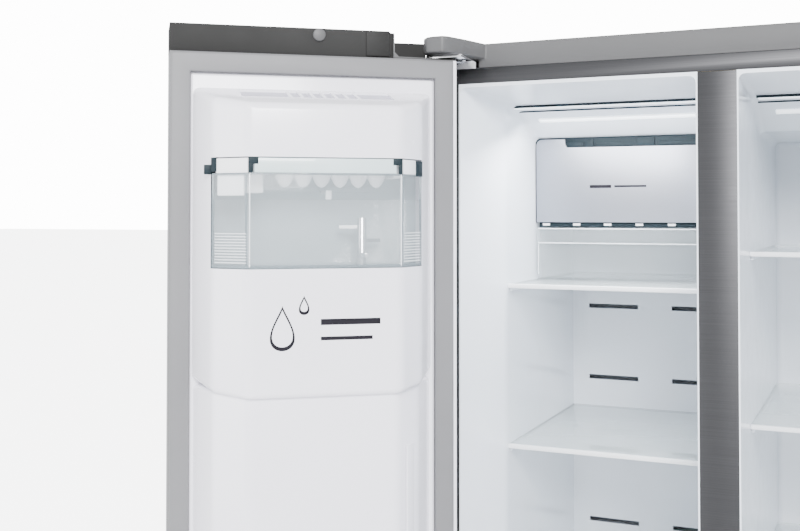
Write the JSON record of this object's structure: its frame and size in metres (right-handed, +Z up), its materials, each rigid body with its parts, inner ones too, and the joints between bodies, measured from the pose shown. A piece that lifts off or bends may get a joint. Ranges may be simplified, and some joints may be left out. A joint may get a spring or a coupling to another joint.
{
  "type": "side by side refrigerator",
  "caption": "Two-door side by side refrigerator with both doors open, door ice bin, ice maker, shelves, drawers, dispenser, hinges, seals and cooling machinery.",
  "frame": {"origin": "on the floor, under the middle of the whole object's box with the doors open as stored; X = 0 is also the middle of the cabinet", "axes": "+Z up, the cabinet's front faces -Y, +X to the right when facing the front"},
  "size_m": [1.5467, 1.1154, 1.785],
  "materials": {
    "case_steel": "satin grey painted steel",
    "trim_grey": "mid grey moulded plastic",
    "cap_grey": "dark warm grey moulded plastic",
    "door_steel": "brushed stainless steel, vertical grain",
    "bright_metal": "bright plated steel",
    "liner_white": "glossy white plastic, slightly cool",
    "inner_white": "glossy white plastic",
    "foam": "rigid foam",
    "gasket": "soft grey vinyl",
    "silver_panel": "light silver satin",
    "slate_plastic": "dark slate moulded plastic",
    "black_plastic": "black moulded plastic",
    "clear_plastic": "clear polystyrene",
    "clear_white": "frosted clear plastic",
    "shelf_glass": "tempered glass",
    "aqua_rail": "pale translucent plastic",
    "trim_white": "white moulded plastic",
    "lens_white": "diffusing lens",
    "copper_black": "black enamelled tube",
    "raw_aluminium": "bare aluminium",
    "galvanised": "galvanised sheet steel",
    "wheel_nylon": "white nylon"
  },
  "bodies": {
    "cabinet": {"cabinet_shell": "case_steel", "rear_covers": "galvanised", "cabinet_insulation": "foam", "freezer_liner": "inner_white", "fridge_liner": "inner_white", "center_mullion": "case_steel", "top_cover": "trim_grey", "door_hinges": "bright_metal", "toe_grille": "cap_grey", "base_pan": "galvanised", "compressor": "copper_black", "condenser_coil": "copper_black", "water_valve": "trim_white", "evaporator": "raw_aluminium", "freezer_back_panel": "inner_white", "interior_lights": "lens_white", "ice_maker_panel": "silver_panel", "ice_maker_body": "slate_plastic", "glass_shelves": "shelf_glass", "shelf_trims": "trim_white", "drawer_rails": "trim_white", "fan_motors": "galvanised"},
    "freezer_door": {"freezer_door_skin": "door_steel", "freezer_door_foam": "foam", "freezer_door_liner": "liner_white", "freezer_door_caps": "cap_grey", "freezer_door_gasket": "gasket", "freezer_door_handle": "door_steel", "ice_housing": "liner_white", "ice_motors": "trim_white", "dispenser_housing": "black_plastic"},
    "fridge_door": {"fridge_door_skin": "door_steel", "fridge_door_foam": "foam", "fridge_door_liner": "liner_white", "fridge_door_caps": "cap_grey", "fridge_door_gasket": "gasket", "fridge_door_handle": "door_steel"},
    "ice_bin": {"ice_bin": "clear_plastic", "ice_bin_rail": "aqua_rail"},
    "craft_ice_bin": {"craft_ice_bin": "clear_plastic"},
    "evaporator_fan": {"evaporator_fan": "black_plastic"},
    "condenser_fan": {"condenser_fan": "black_plastic"},
    "rear_rollers": {"rear_rollers": "wheel_nylon"},
    "left_foot": {"left_foot": "black_plastic"},
    "right_foot": {"right_foot": "black_plastic"},
    "freezer_drawer_upper": {"freezer_drawer_upper": "clear_white"},
    "freezer_drawer_lower": {"freezer_drawer_lower": "clear_white"},
    "deli_drawer": {"deli_drawer": "clear_plastic"},
    "crisper_upper": {"crisper_upper": "clear_plastic"},
    "crisper_lower": {"crisper_lower": "clear_plastic"},
    "ice_tray": {"ice_tray": "trim_white"},
    "ice_stirrer": {"ice_stirrer": "bright_metal"},
    "dispenser_paddle": {"dispenser_paddle": "black_plastic"},
    "drip_tray": {"drip_tray": "black_plastic"},
    "freezer_basket_upper": {"freezer_basket_upper": "clear_plastic"},
    "freezer_basket_lower": {"freezer_basket_lower": "clear_plastic"},
    "dairy_flap": {"dairy_flap": "clear_plastic"},
    "fridge_basket_upper": {"fridge_basket_upper": "clear_plastic"},
    "fridge_basket_middle": {"fridge_basket_middle": "clear_plastic"},
    "fridge_basket_lower": {"fridge_basket_lower": "clear_plastic"}
  },
  "joints": [
    {"name": "freezer_door_swing", "type": "hinge", "parent": "cabinet", "child": "freezer_door", "pos_m": [-0.4375, -0.1136, 1.75], "axis": [0, 0, -1], "range_deg": [-141.84, 6]},
    {"name": "fridge_door_swing", "type": "hinge", "parent": "cabinet", "child": "fridge_door", "pos_m": [0.4375, -0.1136, 1.75], "axis": [0, 0, 1], "range_deg": [-122, 15]},
    {"name": "ice_bin_pull", "type": "slide", "parent": "freezer_door", "child": "ice_bin", "axis": [0.6179, -0.7863, 0], "range_m": [0, 0.15]},
    {"name": "ice_stirrer_turn", "type": "hinge", "parent": "ice_bin", "child": "ice_stirrer", "pos_m": [-0.48733, -0.25654, 1.49], "axis": [0, 0, 1], "continuous": true},
    {"name": "ice_tray_twist", "type": "hinge", "parent": "freezer_door", "child": "ice_tray", "pos_m": [-0.51575, -0.29159, 1.59], "axis": [-0.7863, -0.6179, 0], "range_deg": [0, 150]},
    {"name": "dispenser_paddle_press", "type": "hinge", "parent": "freezer_door", "child": "dispenser_paddle", "pos_m": [-0.56527, -0.23893, 1.235], "axis": [-0.7863, -0.6179, 0], "range_deg": [0, 9], "stiffness_Nm_per_rad": 0.6},
    {"name": "drip_tray_pull", "type": "slide", "parent": "freezer_door", "child": "drip_tray", "axis": [-0.6179, 0.7863, 0], "range_m": [0, 0.07]},
    {"name": "freezer_basket_upper_lift", "type": "slide", "parent": "freezer_door", "child": "freezer_basket_upper", "axis": [0, 0, 1], "range_m": [0, 0.06]},
    {"name": "freezer_basket_lower_lift", "type": "slide", "parent": "freezer_door", "child": "freezer_basket_lower", "axis": [0, 0, 1], "range_m": [0, 0.06]},
    {"name": "dairy_flap_lift", "type": "hinge", "parent": "fridge_door", "child": "dairy_flap", "pos_m": [0.46378, -0.37853, 1.6645], "axis": [-0.5299, 0.848, 0], "range_deg": [0, 80]},
    {"name": "fridge_basket_upper_lift", "type": "slide", "parent": "fridge_door", "child": "fridge_basket_upper", "axis": [0, 0, 1], "range_m": [0, 0.06]},
    {"name": "fridge_basket_middle_lift", "type": "slide", "parent": "fridge_door", "child": "fridge_basket_middle", "axis": [0, 0, 1], "range_m": [0, 0.06]},
    {"name": "fridge_basket_lower_lift", "type": "slide", "parent": "fridge_door", "child": "fridge_basket_lower", "axis": [0, 0, 1], "range_m": [0, 0.06]},
    {"name": "freezer_drawer_upper_pull", "type": "slide", "parent": "cabinet", "child": "freezer_drawer_upper", "axis": [0, -1, 0], "range_m": [0, 0.3]},
    {"name": "freezer_drawer_lower_pull", "type": "slide", "parent": "cabinet", "child": "freezer_drawer_lower", "axis": [0, -1, 0], "range_m": [0, 0.18]},
    {"name": "deli_drawer_pull", "type": "slide", "parent": "cabinet", "child": "deli_drawer", "axis": [0, -1, 0], "range_m": [0, 0.3]},
    {"name": "crisper_upper_pull", "type": "slide", "parent": "cabinet", "child": "crisper_upper", "axis": [0, -1, 0], "range_m": [0, 0.3]},
    {"name": "crisper_lower_pull", "type": "slide", "parent": "cabinet", "child": "crisper_lower", "axis": [0, -1, 0], "range_m": [0, 0.18]},
    {"name": "craft_ice_bin_pull", "type": "slide", "parent": "cabinet", "child": "craft_ice_bin", "axis": [0, -1, 0], "range_m": [0, 0.2]},
    {"name": "evaporator_fan_spin", "type": "hinge", "parent": "cabinet", "child": "evaporator_fan", "pos_m": [-0.237, 0.456, 1.06], "axis": [0, 1, 0], "continuous": true},
    {"name": "condenser_fan_spin", "type": "hinge", "parent": "cabinet", "child": "condenser_fan", "pos_m": [0.01, 0.428, 0.128], "axis": [1, 0, 0], "continuous": true},
    {"name": "rear_rollers_roll", "type": "hinge", "parent": "cabinet", "child": "rear_rollers", "pos_m": [0, 0.488, 0.022], "axis": [1, 0, 0], "continuous": true},
    {"name": "left_foot_turn", "type": "hinge", "parent": "cabinet", "child": "left_foot", "pos_m": [-0.395, -0.027, 0.02], "axis": [0, 0, 1], "continuous": true},
    {"name": "right_foot_turn", "type": "hinge", "parent": "cabinet", "child": "right_foot", "pos_m": [0.395, -0.027, 0.02], "axis": [0, 0, 1], "continuous": true}
  ]
}
